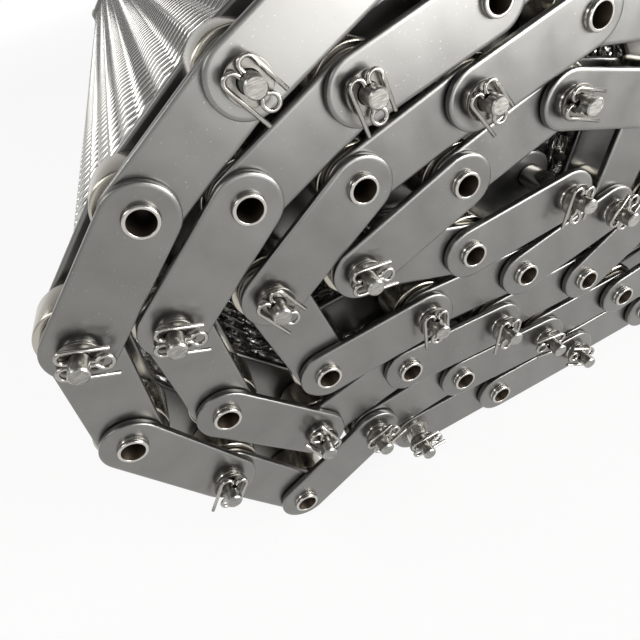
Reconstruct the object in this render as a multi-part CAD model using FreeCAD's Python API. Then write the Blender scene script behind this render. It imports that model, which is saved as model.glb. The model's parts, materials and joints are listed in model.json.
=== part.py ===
import FreeCAD, Part
import math
import os

# A chain-driven wire mesh conveyor belt of stainless steel, rolled up and standing on its free end.
# All sizes are in millimetres. X runs along the free end, Y across the belt, Z up from the floor.

# Cross rods, one at every second joint, and what holds them
ROD_DIA = 6.8
ROD_CHAMFER = 0.5
ROD_NOSE = 5.8
ROD_PLAY = 1.0
WASHER_RIM = 3.55
WASHER_THICK = 1.0
WASHER_PLAY = 0.25
SPLIT_WIRE = 1.4
SPLIT_GAP = 0.1
SPLIT_PLAY = 0.15
SPLIT_EYE_RADIUS = 2.0
SPLIT_FLARE_RADIUS = 2.0
SPLIT_SHANK = 0.6
SPLIT_LEG_CLEAR = 1.3
SPLIT_LEG_LENGTH = 13.0
SPLIT_LEG_EXTRA = 3.0

# Side chains with hollow pins and large rollers, built outwards from the rod
PITCH = 50.8
PIN_WALL = 1.25
PIN_PROUD = 2.2
PIN_CHAMFER = 0.4
BUSH_WALL = 2.2
PLATE_RIM = 4.1
PLATE_THICK = 3.2
PLATE_EDGE = 0.6
ROLLER_STAND = 2.25
ROLLER_CHAMFER = 0.9
INNER_WIDTH = 15.75
RUN_CLEAR = 0.08
SIDE_CLEAR = 0.3

# Belt, over the outboard faces of the outer plates
BELT_WIDTH = 1200.0

# Wire mesh between the chains: flattened spirals joined by straight rods
SPIRALS_PER_LINK = 4
SPIRAL_WIRE = 2.2
SPIRAL_PLAY = 0.2
SPIRAL_CORNER = 3.6
SPIRAL_SKIN = 0.5
SPIRAL_GAP = 0.5
SPIRAL_ROD_CLEAR = 0.3
MESH_ROD_DIA = 4.0
MESH_SIDE_GAP = 1.0
MESH_WINDOWS = 6
MESH_RIB = 8.0

# The winding: the free end lies on the floor, and the belt follows these bends inwards.
# Each bend is x, height of its centre and radius, passed counter-clockwise seen from the front.
FREE_END_X = 43.0
FLOOR_BEND = (185.0, 126.0)
INNER_BENDS = [
    (74.0, 179.0, 61.0),
    (6.0, 118.0, 77.0),
    (-11.0, 27.0, 12.0),
    (181.0, 131.0, 106.0),
    (22.0, 123.0, 52.0),
    (-4.0, 53.0, 11.0),
    (149.0, 136.0, 62.0),
    (43.0, 126.0, 45.0),
    (156.0, 133.0, 33.0),
    (44.0, 131.0, 13.0),
    (170.0, 130.0, 12.0),
    (136.0, 142.0, 6.0),
]
WINDING_TAIL = 45.0
WINDING_CLEAR = 0.8
HELD_JOINTS = 3
GUIDE_STEP = 1.0
SETTLE_ROUNDS = 1500
SETTLE_TOLERANCE = 0.005
LENGTH_SWEEPS = 4

# Joints that open as the belt unrolls: the first links move one by one, the rest is one roll
FIRST_HINGE = 3
LAST_HINGE = 9

# Split pin eyes point this way, in degrees up from +X; the rods out of sight take the rule below
SPLIT_TURNS = {14: -60, 16: -25, 32: -80, 34: -25, 44: -60, 46: -65, 52: -25, 54: -10, 56: -110}
SPLIT_TURN_STEP = 73.0

# Sizes that follow
PIN_BORE = ROD_DIA + 2 * ROD_PLAY
PIN_DIA = PIN_BORE + 2 * PIN_WALL
BUSH_BORE = PIN_DIA + 2 * RUN_CLEAR
BUSH_DIA = BUSH_BORE + 2 * BUSH_WALL
PLATE_HEIGHT = BUSH_DIA + 2 * PLATE_RIM
ROLLER_BORE = BUSH_DIA + 2 * RUN_CLEAR
ROLLER_DIA = PLATE_HEIGHT + 2 * ROLLER_STAND
ROLLER_WIDTH = INNER_WIDTH - 2 * SIDE_CLEAR
BUSH_LENGTH = INNER_WIDTH + 2 * PLATE_THICK
CHAIN_WIDTH = BUSH_LENGTH + 2 * SIDE_CLEAR + 2 * PLATE_THICK
CHAIN_MID = (BELT_WIDTH - CHAIN_WIDTH) / 2
PIN_LENGTH = CHAIN_WIDTH + 2 * PIN_PROUD
INNER_PLATE_MID = (INNER_WIDTH + PLATE_THICK) / 2
OUTER_PLATE_MID = (CHAIN_WIDTH - PLATE_THICK) / 2
WASHER_BORE = ROD_DIA + 2 * WASHER_PLAY
WASHER_DIA = WASHER_BORE + 2 * WASHER_RIM
WASHER_MID = BELT_WIDTH / 2 + PIN_PROUD + WASHER_PLAY + WASHER_THICK / 2
SPLIT_LEG = SPLIT_WIRE / 2 + SPLIT_GAP / 2
SPLIT_HOLE_DIA = 2 * (SPLIT_LEG + SPLIT_WIRE / 2 + SPLIT_PLAY)
SPLIT_MID = WASHER_MID + WASHER_THICK / 2 + WASHER_PLAY + SPLIT_HOLE_DIA / 2
ROD_LENGTH = 2 * (SPLIT_MID + ROD_NOSE)
MESH_WIDTH = BELT_WIDTH - 2 * (CHAIN_WIDTH + PIN_PROUD + MESH_SIDE_GAP)
SPIRAL_PITCH = PITCH / SPIRALS_PER_LINK
SPIRAL_HALF = ROD_DIA / 2 + SPIRAL_PLAY + SPIRAL_WIRE
FLOOR = ROLLER_DIA / 2
ROLLERS_APART = ROLLER_DIA + WINDING_CLEAR
PLATES_APART = PLATE_HEIGHT + WINDING_CLEAR
MESH_APART = 2 * SPIRAL_HALF + WINDING_CLEAR
NEAR = 2 * PITCH + ROLLERS_APART

AXIS = FreeCAD.Vector(0, 1, 0)


# Winding of the chain, as complex numbers x + z*1j in the plane of the plates

def tangent_angle(bend, next_bend):
    """Angle at which the belt leaves one bend for the next."""
    x1, z1, r1 = bend
    x2, z2, r2 = next_bend
    apart = math.hypot(x2 - x1, z2 - z1)
    return math.atan2(z2 - z1, x2 - x1) - math.acos((r1 - r2) / apart)


def guide_line():
    """Points close together along the floor and round the bends."""
    floor_x, floor_radius = FLOOR_BEND
    bends = [(floor_x, FLOOR + floor_radius, floor_radius)] + INNER_BENDS
    points = [complex(FREE_END_X, FLOOR)]
    start = -math.pi / 2
    for number, (x, z, radius) in enumerate(bends):
        end = start + math.pi
        if number + 1 < len(bends):
            end = tangent_angle(bends[number], bends[number + 1])
            while end < start:
                end += 2 * math.pi
        steps = max(2, int(radius * (end - start) / GUIDE_STEP))
        for step in range(steps + 1):
            angle = start + (end - start) * step / steps
            points.append(complex(x + radius * math.cos(angle), z + radius * math.sin(angle)))
        start = end
    heading = start + math.pi / 2
    points.append(points[-1] + WINDING_TAIL * complex(math.cos(heading), math.sin(heading)))
    return points


def lay_chain(points):
    """Joints one pitch apart along the guide, with an outer link at the inner end."""
    joints = [points[0]]
    for here, there in zip(points, points[1:]):
        while abs(there - joints[-1]) > PITCH:
            along = there - here
            back = here - joints[-1]
            a = abs(along) ** 2
            b = dot(back, along)
            c = abs(back) ** 2 - PITCH ** 2
            here = here + along * (-b + math.sqrt(b * b - a * c)) / a
            joints.append(here)
            if here == there:
                break
    if len(joints) % 2 == 0:
        joints.pop()
    return joints


def dot(u, v):
    return (u.conjugate() * v).real


def clamp(value):
    return min(max(value, 0.0), 1.0)


def closest_shares(p1, q1, p2, q2):
    """How far along two links their closest points lie, each from 0 to 1."""
    d1 = q1 - p1
    d2 = q2 - p2
    between = p1 - p2
    a = dot(d1, d1)
    e = dot(d2, d2)
    b = dot(d1, d2)
    c = dot(d1, between)
    f = dot(d2, between)
    spread = a * e - b * b
    s = clamp((b * f - c * e) / spread) if spread > 1e-9 else 0.5
    t = (b * s + f) / e
    if t < 0:
        return clamp(-c / a), 0.0
    if t > 1:
        return clamp((b - c) / a), 1.0
    return s, t


def shift(joints, number, step):
    """Moves a joint, unless it lies on the floor run that holds still."""
    if number >= HELD_JOINTS:
        joints[number] += step


def part_rollers(joints, i, j):
    """Pushes two rollers apart and returns how far they overlapped."""
    apart = joints[j] - joints[i]
    lack = ROLLERS_APART - abs(apart)
    if lack <= 0:
        return 0.0
    push = apart / abs(apart) * lack / 2
    shift(joints, i, -push)
    shift(joints, j, push)
    return lack


def part_links(joints, i, j):
    """Pushes two links apart and returns how far they overlapped."""
    s, t = closest_shares(joints[i], joints[i + 1], joints[j], joints[j + 1])
    near_i = joints[i] + (joints[i + 1] - joints[i]) * s
    near_j = joints[j] + (joints[j + 1] - joints[j]) * t
    apart = near_j - near_i
    lack = (PLATES_APART if (j - i) % 2 == 0 else MESH_APART) - abs(apart)
    if lack <= 0:
        return 0.0
    push = apart / abs(apart) * lack / ((1 - s) ** 2 + s * s + (1 - t) ** 2 + t * t)
    shift(joints, i, -push * (1 - s))
    shift(joints, i + 1, -push * s)
    shift(joints, j, push * (1 - t))
    shift(joints, j + 1, push * t)
    return lack


def restore_lengths(joints):
    """Brings each link back to one pitch and returns the largest error found."""
    links = len(joints) - 1
    worst = 0.0
    for i in list(range(links)) + list(range(links - 1, -1, -1)):
        along = joints[i + 1] - joints[i]
        error = abs(along) - PITCH
        pull = along / abs(along) * error / 2
        shift(joints, i, pull)
        shift(joints, i + 1, -pull)
        worst = max(worst, abs(error))
    return worst


def settle(joints):
    """Lets the laid chain settle until no lap overlaps another and no link is stretched."""
    count = len(joints)
    for _ in range(SETTLE_ROUNDS):
        worst = 0.0
        for i in range(count - 2):
            for j in range(i + 2, count):
                if abs(joints[j] - joints[i]) > NEAR:
                    continue
                worst = max(worst, part_rollers(joints, i, j))
                if j + 1 < count:
                    worst = max(worst, part_links(joints, i, j))
        for _ in range(LENGTH_SWEEPS):
            error = restore_lengths(joints)
        for number, joint in enumerate(joints):
            joints[number] = complex(joint.real, max(joint.imag, FLOOR))
        if max(worst, error) < SETTLE_TOLERANCE:
            break


def wind():
    """Joint places with every link exactly one pitch long, centred over the origin."""
    settled = lay_chain(guide_line())
    settle(settled)
    joints = [settled[0]]
    for here, there in zip(settled, settled[1:]):
        joints.append(joints[-1] + PITCH * (there - here) / abs(there - here))
    middle = (min(p.real for p in joints) + max(p.real for p in joints)) / 2
    return [p - middle for p in joints]


# Single pieces, each centred on its own axis along Y

def rod(diameter, length):
    return Part.makeCylinder(diameter / 2, length, FreeCAD.Vector(0, -length / 2, 0), AXIS)


def end_circles(solid, radius):
    """The round edges of a given radius at a piece's two ends."""
    circles = [e for e in solid.Edges if isinstance(e.Curve, Part.Circle)]
    return [e for e in circles if abs(e.Curve.Radius - radius) < 1e-6]


def ring(diameter, bore, length, chamfer):
    body = rod(diameter, length)
    if chamfer:
        body = body.makeChamfer(chamfer, end_circles(body, diameter / 2))
    return body.cut(rod(bore, length))


def chain_plate(bore):
    """A straight-sided plate with round ends and a hole at each joint, along +X from its first joint."""
    half = PLATE_HEIGHT / 2
    face_y = -PLATE_THICK / 2
    places = ((0, half), (0, -half), (PITCH, -half), (PITCH, half))
    corners = [FreeCAD.Vector(x, face_y, z) for x, z in places]
    outline = Part.Wire([
        Part.Arc(corners[0], FreeCAD.Vector(-half, face_y, 0), corners[1]).toShape(),
        Part.LineSegment(corners[1], corners[2]).toShape(),
        Part.Arc(corners[2], FreeCAD.Vector(PITCH + half, face_y, 0), corners[3]).toShape(),
        Part.LineSegment(corners[3], corners[0]).toShape(),
    ])
    blank = Part.Face(outline).extrude(AXIS * PLATE_THICK)
    rim = [e for e in blank.Edges if e.BoundBox.YLength < PLATE_THICK / 2]
    blank = blank.makeFillet(PLATE_EDGE, rim)
    for x in (0, PITCH):
        blank = blank.cut(place(rod(bore, 2 * PLATE_THICK), complex(x, 0), 0))
    return blank


def cross_rod():
    """A rod with chamfered ends and a hole for a split pin near each end."""
    body = rod(ROD_DIA, ROD_LENGTH)
    body = body.makeChamfer(ROD_CHAMFER, end_circles(body, ROD_DIA / 2))
    for y in (-SPLIT_MID, SPLIT_MID):
        start = FreeCAD.Vector(-ROD_DIA, y, 0)
        body = body.cut(Part.makeCylinder(SPLIT_HOLE_DIA / 2, 2 * ROD_DIA, start, FreeCAD.Vector(1, 0, 0)))
    return body


def split_pin():
    """A split pin through a rod, its eye towards +X and its legs bent back round the rod."""
    leg_out = ROD_DIA / 2 + SPLIT_WIRE / 2 + SPLIT_LEG_CLEAR
    bend = (leg_out - SPLIT_LEG) / 2
    near = ROD_DIA / 2 + SPLIT_SHANK
    spread = SPLIT_FLARE_RADIUS + SPLIT_EYE_RADIUS
    rise = SPLIT_LEG + SPLIT_FLARE_RADIUS
    eye = near + math.sqrt(spread ** 2 - rise ** 2)
    share = SPLIT_FLARE_RADIUS / spread
    meet_x = near + (eye - near) * share
    meet_z = rise * (1 - share)
    half_turn = math.atan2(meet_x - near, rise - meet_z) / 2
    flare_x = near + SPLIT_FLARE_RADIUS * math.sin(half_turn)
    flare_z = rise - SPLIT_FLARE_RADIUS * math.cos(half_turn)
    tip = SPLIT_LEG_LENGTH - near
    upper = [(tip, leg_out), (-near, leg_out), (-near - bend, SPLIT_LEG + bend), (-near, SPLIT_LEG),
             (near, SPLIT_LEG), (flare_x, flare_z), (meet_x, meet_z)]
    lower = [(x, -z) for x, z in reversed(upper)]
    lower[-1] = (tip + SPLIT_LEG_EXTRA, -leg_out)
    points = upper + [(eye + SPLIT_EYE_RADIUS, 0)] + lower
    places = [FreeCAD.Vector(x, 0, z) for x, z in points]
    arcs = (1, 4, 6, 8, 11)
    edges = []
    step = 0
    while step < len(places) - 1:
        if step in arcs:
            edges.append(Part.Arc(*places[step:step + 3]).toShape())
            step += 2
        else:
            edges.append(Part.LineSegment(places[step], places[step + 1]).toShape())
            step += 1
    wire = Part.Circle(places[0], FreeCAD.Vector(1, 0, 0), SPLIT_WIRE / 2).toShape()
    return Part.Wire(edges).makePipeShell([Part.Wire(wire)], True, False)


def mesh_bar(start, end, half, corner):
    """A bar across the belt from start to end along the link, with rounded long edges."""
    corner_place = FreeCAD.Vector(start, -MESH_WIDTH / 2, -half)
    box = Part.makeBox(end - start, MESH_WIDTH, 2 * half, corner_place)
    long_edges = [e for e in box.Edges if e.BoundBox.YLength > MESH_WIDTH / 2]
    return box.makeFillet(corner, long_edges)


def spiral(start, end, rods):
    """The envelope of one flattened spiral: a thin open tube, dished at the rods, with open flat sides."""
    outside = mesh_bar(start, end, SPIRAL_HALF, SPIRAL_CORNER)
    skin = SPIRAL_SKIN
    inside = mesh_bar(start + skin, end - skin, SPIRAL_HALF - skin, SPIRAL_CORNER - skin)
    for x, diameter in rods:
        dish = diameter + 2 * SPIRAL_ROD_CLEAR
        outside = outside.cut(place(rod(dish, MESH_WIDTH), complex(x, 0), 0))
        inside = inside.cut(place(rod(dish + 2 * skin, MESH_WIDTH), complex(x, 0), 0))
    tube = outside.cut(inside)
    (left, left_dia), (right, right_dia) = rods
    first = max(start + SPIRAL_CORNER, left + left_dia / 2 + SPIRAL_ROD_CLEAR + skin) + skin
    last = min(end - SPIRAL_CORNER, right - right_dia / 2 - SPIRAL_ROD_CLEAR - skin) - skin
    if last - first < SPIRAL_WIRE:
        return tube
    return tube.cut(mesh_windows(first, last))


def mesh_windows(first, last):
    """The gaps between a spiral's turns, as a row of openings across the belt with ribs between them."""
    step = MESH_WIDTH / MESH_WINDOWS
    windows = []
    for number in range(MESH_WINDOWS):
        y = number * step + (MESH_RIB - MESH_WIDTH) / 2
        corner = FreeCAD.Vector(first, y, -2 * SPIRAL_HALF)
        windows.append(Part.makeBox(last - first, step - MESH_RIB, 4 * SPIRAL_HALF, corner))
    return Part.makeCompound(windows)


def place(shape, point, y, turn=0.0):
    """A copy of a piece turned about its Y axis and moved to a point of the winding."""
    rotation = FreeCAD.Rotation(AXIS, -math.degrees(turn))
    placement = FreeCAD.Placement(FreeCAD.Vector(point.real, y, point.imag), rotation)
    return shape.transformed(placement.toMatrix(), True)


# The belt, link by link

def body_name(link):
    if link < FIRST_HINGE:
        return "free_end_run"
    if link < LAST_HINGE:
        return f"link_{link}"
    return "wound_roll"


def heading(joints, link):
    along = joints[link + 1] - joints[link]
    return math.atan2(along.imag, along.real)


def turn_at(joints, number):
    """How far the belt bends at a joint, in radians; nothing at its two ends."""
    if number in (0, len(joints) - 1):
        return 0.0
    ahead = joints[number + 1] - joints[number]
    behind = joints[number] - joints[number - 1]
    ratio = ahead / behind
    return math.atan2(ratio.imag, ratio.real)


def end_room(turn):
    """How far a spiral keeps from a joint so that the mesh can bend there."""
    half_turn = abs(turn) / 2
    reach = SPIRAL_CORNER + SPIRAL_GAP / 2 + (SPIRAL_HALF - SPIRAL_CORNER) * math.sin(half_turn)
    return reach / math.cos(half_turn) - SPIRAL_CORNER


def joint_rod_dia(number):
    return ROD_DIA if number % 2 == 0 else MESH_ROD_DIA


def link_spirals(joints, link):
    """Spans and rods of a link's spirals, leaving out what a tight bend has no room for."""
    first = end_room(turn_at(joints, link))
    last = PITCH - end_room(turn_at(joints, link + 1))
    spans = []
    for number in range(SPIRALS_PER_LINK):
        left = number * SPIRAL_PITCH
        right = left + SPIRAL_PITCH
        start = max(left + SPIRAL_GAP / 2, first)
        end = min(right - SPIRAL_GAP / 2, last)
        if end - start < 2 * SPIRAL_CORNER + SPIRAL_SKIN:
            continue
        left_dia = joint_rod_dia(link) if number == 0 else MESH_ROD_DIA
        right_dia = joint_rod_dia(link + 1) if number == SPIRALS_PER_LINK - 1 else MESH_ROD_DIA
        spans.append((start, end, ((left, left_dia), (right, right_dia))))
    return spans


def add_mesh(nodes, joints, link):
    """The spirals of a link, its thin rods and, on an outer link, the thin rod at its first joint."""
    name = body_name(link)
    single = name.startswith("link_")
    turn = heading(joints, link)
    spans = link_spirals(joints, link)
    for start, end, rods in spans:
        key = (round(start, 3), round(end, 3), rods)
        if key not in shapes:
            shapes[key] = spiral(start, end, rods)
        add(nodes, name, "mesh_panel" if single else "spirals", place(shapes[key], joints[link], 0, turn))
    held = sorted({x for _, _, rods in spans for x, _ in rods if 0 < x < PITCH - SPIRAL_PITCH / 2})
    if link % 2 == 1:
        held.insert(0, 0.0)
    direction = complex(math.cos(turn), math.sin(turn))
    thin_rod = rod(MESH_ROD_DIA, MESH_WIDTH)
    for x in held:
        bar = place(thin_rod, joints[link] + x * direction, 0)
        add(nodes, name, "mesh_panel" if single else "mesh_rods", bar)


def add_plates(nodes, joints, link):
    kind = "outer_plates" if link % 2 else "inner_plates"
    offset = OUTER_PLATE_MID if link % 2 else INNER_PLATE_MID
    plate = shapes[kind]
    for side in (-CHAIN_MID, CHAIN_MID):
        for y in (side - offset, side + offset):
            add(nodes, body_name(link), kind, place(plate, joints[link], y, heading(joints, link)))


def add_joint(nodes, joints, number):
    """What turns about one joint: bushes and rollers on the inner link, pins and rod on the outer one."""
    inner_link = number if number % 2 == 0 else number - 1
    outer_link = max(number if number % 2 else number - 1, 0)
    if inner_link < len(joints) - 1:
        for y in (-CHAIN_MID, CHAIN_MID):
            add(nodes, body_name(inner_link), "bushes", place(shapes["bush"], joints[number], y))
    for y in (-CHAIN_MID, CHAIN_MID):
        roller = place(shapes["roller"], joints[number], y)
        if number <= LAST_HINGE:
            add(nodes, f"roller_pair_{number}", "", roller)
        elif inner_link < len(joints) - 1:
            add(nodes, "wound_roll", "rollers", roller)
        add(nodes, body_name(outer_link), "hollow_pins", place(shapes["pin"], joints[number], y))
    if number % 2 == 0:
        add_cross_rod(nodes, joints[number], number, body_name(outer_link))


def add_cross_rod(nodes, point, number, name):
    turn = math.radians(SPLIT_TURNS.get(number, number * SPLIT_TURN_STEP))
    single = name.startswith("link_")
    add(nodes, name, "cross_rod" if single else "cross_rods", place(shapes["rod"], point, 0, turn))
    for side in (-1, 1):
        add(nodes, name, "washers", place(shapes["washer"], point, side * WASHER_MID, turn))
        add(nodes, name, "split_pins", place(shapes["split_pin"], point, side * SPLIT_MID, turn))


def add(nodes, name, piece, solid):
    nodes.setdefault(f"{name}_{piece}" if piece else name, []).append(solid)


shapes = {
    "inner_plates": chain_plate(BUSH_DIA),
    "outer_plates": chain_plate(PIN_DIA),
    "bush": ring(BUSH_DIA, BUSH_BORE, BUSH_LENGTH, 0),
    "roller": ring(ROLLER_DIA, ROLLER_BORE, ROLLER_WIDTH, ROLLER_CHAMFER),
    "pin": ring(PIN_DIA, PIN_BORE, PIN_LENGTH, PIN_CHAMFER),
    "rod": cross_rod(),
    "washer": ring(WASHER_DIA, WASHER_BORE, WASHER_THICK, 0),
    "split_pin": split_pin(),
}

joints = wind()
nodes = {}
for link in range(len(joints) - 1):
    add_plates(nodes, joints, link)
    add_mesh(nodes, joints, link)
for number in range(len(joints)):
    add_joint(nodes, joints, number)

os.makedirs("parts", exist_ok=True)
for node, solids in nodes.items():
    Part.makeCompound(solids).exportStep(f"parts/{node}.step")

# What the record needs: where each joint lies and how far it is bent
print("links", len(joints) - 1, "pin length", round(PIN_LENGTH, 3), "rod length", round(ROD_LENGTH, 3))
for number, point in enumerate(joints):
    bend = math.degrees(turn_at(joints, number))
    print("joint", number, round(point.real, 4), round(point.imag, 4), round(bend, 3))
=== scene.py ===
import cmath
import json
import math

import bpy
import numpy as np
from bpy.props import FloatProperty, FloatVectorProperty, IntProperty, PointerProperty
from mathutils import Matrix, Vector

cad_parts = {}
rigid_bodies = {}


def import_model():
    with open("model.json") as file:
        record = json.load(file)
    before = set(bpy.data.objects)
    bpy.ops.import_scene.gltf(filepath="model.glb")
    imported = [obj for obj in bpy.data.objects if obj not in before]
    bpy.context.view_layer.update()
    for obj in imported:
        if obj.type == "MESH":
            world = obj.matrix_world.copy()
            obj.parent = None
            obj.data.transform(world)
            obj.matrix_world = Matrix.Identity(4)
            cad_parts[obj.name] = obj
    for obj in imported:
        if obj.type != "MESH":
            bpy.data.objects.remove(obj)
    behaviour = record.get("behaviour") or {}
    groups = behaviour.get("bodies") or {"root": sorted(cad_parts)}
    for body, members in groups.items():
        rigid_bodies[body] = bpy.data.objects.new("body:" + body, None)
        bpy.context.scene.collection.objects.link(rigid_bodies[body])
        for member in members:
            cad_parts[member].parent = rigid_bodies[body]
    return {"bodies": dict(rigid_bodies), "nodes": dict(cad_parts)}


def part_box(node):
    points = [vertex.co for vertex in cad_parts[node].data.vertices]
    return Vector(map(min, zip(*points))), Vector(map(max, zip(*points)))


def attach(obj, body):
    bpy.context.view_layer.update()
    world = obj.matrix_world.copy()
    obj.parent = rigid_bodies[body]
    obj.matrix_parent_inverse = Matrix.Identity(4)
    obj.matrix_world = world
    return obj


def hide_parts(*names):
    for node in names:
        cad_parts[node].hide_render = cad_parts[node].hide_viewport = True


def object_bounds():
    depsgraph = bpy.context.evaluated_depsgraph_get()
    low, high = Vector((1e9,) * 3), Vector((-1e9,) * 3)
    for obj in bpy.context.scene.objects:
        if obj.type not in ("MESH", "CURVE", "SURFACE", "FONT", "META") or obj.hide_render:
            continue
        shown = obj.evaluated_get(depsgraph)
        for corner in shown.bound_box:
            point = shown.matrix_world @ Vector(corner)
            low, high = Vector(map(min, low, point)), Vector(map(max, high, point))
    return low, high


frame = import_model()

# A rolled-up conveyor belt of stainless steel: wire spirals between two chains with hollow pins.
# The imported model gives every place; this file builds the finished meshes along it and lights them.

bl_info = {
    "name": "Rolled mesh belt",
    "version": (1, 0, 0),
    "blender": (4, 5, 0),
    "location": "View3D > Sidebar > Mesh Belt",
    "description": "Dresses a rolled-up chain-driven wire mesh belt of stainless steel",
    "category": "Object",
}

MM = 0.001
TAU = 2 * math.pi
ACROSS = np.array((0.0, 1.0, 0.0))
MIX_FIRST, MIX_SECOND, MIX_COLOUR = 6, 7, 2  # the colour sockets of a mix node
OUTER_LAP = 18  # links of the lap that shows from outside, which have the finer mesh
FINE_STEPS = 5, 2, 6  # of a spiral: round its ends, along its flat sides and round its wire
PLAIN_STEPS = 3, 1, 4
GROOVE_SPOTS = 2.2, 2.8, 3.4, 4.0  # corners of a pin's groove, in rim radii from the end
CAD_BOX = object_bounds()


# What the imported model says

def solids(node):
    """The points of each separate solid of a CAD node, with its split corners welded."""
    mesh = frame["nodes"][node].data
    points = np.empty(3 * len(mesh.vertices), np.float32)
    mesh.vertices.foreach_get("co", points)
    ends = np.empty(2 * len(mesh.edges), np.int32)
    mesh.edges.foreach_get("vertices", ends)
    points, welded = np.unique(points.reshape(-1, 3).round(6), axis=0, return_inverse=True)
    ends = welded.ravel()[ends.reshape(-1, 2).T]
    group = np.arange(len(points))
    joined = False
    while not joined:
        lowest = group.copy()
        for end in ends:
            np.minimum.at(lowest, end, group[ends].min(axis=0))
        lowest = lowest[lowest]
        joined = np.array_equal(lowest, group)
        group = lowest
    return [points[group == number].astype(float) for number in np.unique(group)]


def in_plane(point):
    """A point seen along the rods, as x + z*1j."""
    return complex(point[0], point[2])


def nodes_of(kind):
    return [node for node in frame["nodes"] if node.endswith(kind)]


def box_middle(node):
    low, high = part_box(node)
    return (low + high) / 2


def find_joints():
    """The chain's joints in the plane of the plates, from the free end inwards."""
    middles = [solid.mean(axis=0) for node in nodes_of("_hollow_pins") for solid in solids(node)]
    left = [in_plane(middle) for middle in middles if middle[1] < 0]
    here = in_plane(box_middle("roller_pair_0"))
    pitch = abs(in_plane(box_middle("roller_pair_1")) - here)
    joints = [min(left, key=lambda place: abs(place - here))]
    left.remove(joints[0])
    while left:
        joints.append(min(left, key=lambda place: abs(abs(place - joints[-1]) - pitch)))
        left.remove(joints[-1])
    return joints


def find_split_turns():
    """Which way the eye of the split pin points at each joint with a cross rod."""
    turns = {}
    for node in nodes_of("_split_pins"):
        for solid in solids(node):
            here = in_plane(solid.mean(axis=0))
            number = min(range(0, len(JOINTS), 2), key=lambda n: abs(JOINTS[n] - here))
            turns[number] = cmath.phase(here - JOINTS[number])
    return turns


def ring_sizes(node):
    """Diameter, bore and length of a node's first ring, and how far its middle is from the belt's."""
    ring = solids(node)[0]
    middle = ring.mean(axis=0)
    radius = np.hypot(ring[:, 0] - middle[0], ring[:, 2] - middle[2])
    return 2 * radius.max(), 2 * radius.min(), np.ptp(ring[:, 1]), abs(middle[1])


def link_reach(node, link):
    """How far a node's solids stand out from the line of its link."""
    low, high = (JOINTS[number] for number in (link, link + 1))
    along = (high - low) / abs(high - low)
    points = np.concatenate(solids(node))
    return np.abs(((points[:, 0] + 1j * points[:, 2] - low) / along).imag).max()


def plate_sides(node):
    """Thickness of a link's plates, and how far their middles are from the middle of the belt."""
    plates = solids(node)
    offsets = sorted({round(plate[:, 1].mean(), 6) for plate in plates})
    return np.ptp(plates[0][:, 1]), offsets


JOINTS = find_joints()
PITCH = abs(JOINTS[1] - JOINTS[0])
LINKS = range(len(JOINTS) - 1)
SPLIT_TURNS = find_split_turns()
PIN_DIA, PIN_BORE, PIN_LENGTH, CHAIN_MID = ring_sizes("link_3_hollow_pins")
ROLLER_DIA, ROLLER_BORE, ROLLER_WIDTH, _ = ring_sizes("roller_pair_0")
WASHER_DIA, WASHER_BORE, WASHER_THICK, WASHER_MID = ring_sizes("link_3_washers")
BUSH_DIA = ring_sizes("link_4_bushes")[0]
ROD_DIA = ring_sizes("link_3_cross_rod")[0]
SPLIT_MID = abs(solids("link_3_split_pins")[0][:, 1].mean())
PLATE_HALF = link_reach("link_3_outer_plates", 3)
PLATE_THICK, OUTER_PLATE_MIDS = plate_sides("link_3_outer_plates")
INNER_PLATE_MIDS = plate_sides("link_4_inner_plates")[1]
MESH_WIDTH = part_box("link_4_mesh_panel")[1].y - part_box("link_4_mesh_panel")[0].y


# Sizes and colours that a user would change

def linear(code):
    """An sRGB hex colour as linear values."""
    shares = [int(code[place:place + 2], 16) / 255 for place in (1, 3, 5)]
    return tuple(s / 12.92 if s <= 0.04045 else ((s + 0.055) / 1.055) ** 2.4 for s in shares)


def length(name, description, millimetres):
    return FloatProperty(name=name, description=description, default=millimetres * MM, unit="LENGTH",
                         precision=5)


def colour(name, description, code):
    return FloatVectorProperty(name=name, description=description, default=linear(code), subtype="COLOR",
                               min=0, max=1)


def angle(name, description, degrees):
    return FloatProperty(name=name, description=description, default=math.radians(degrees), subtype="ANGLE")


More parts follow.
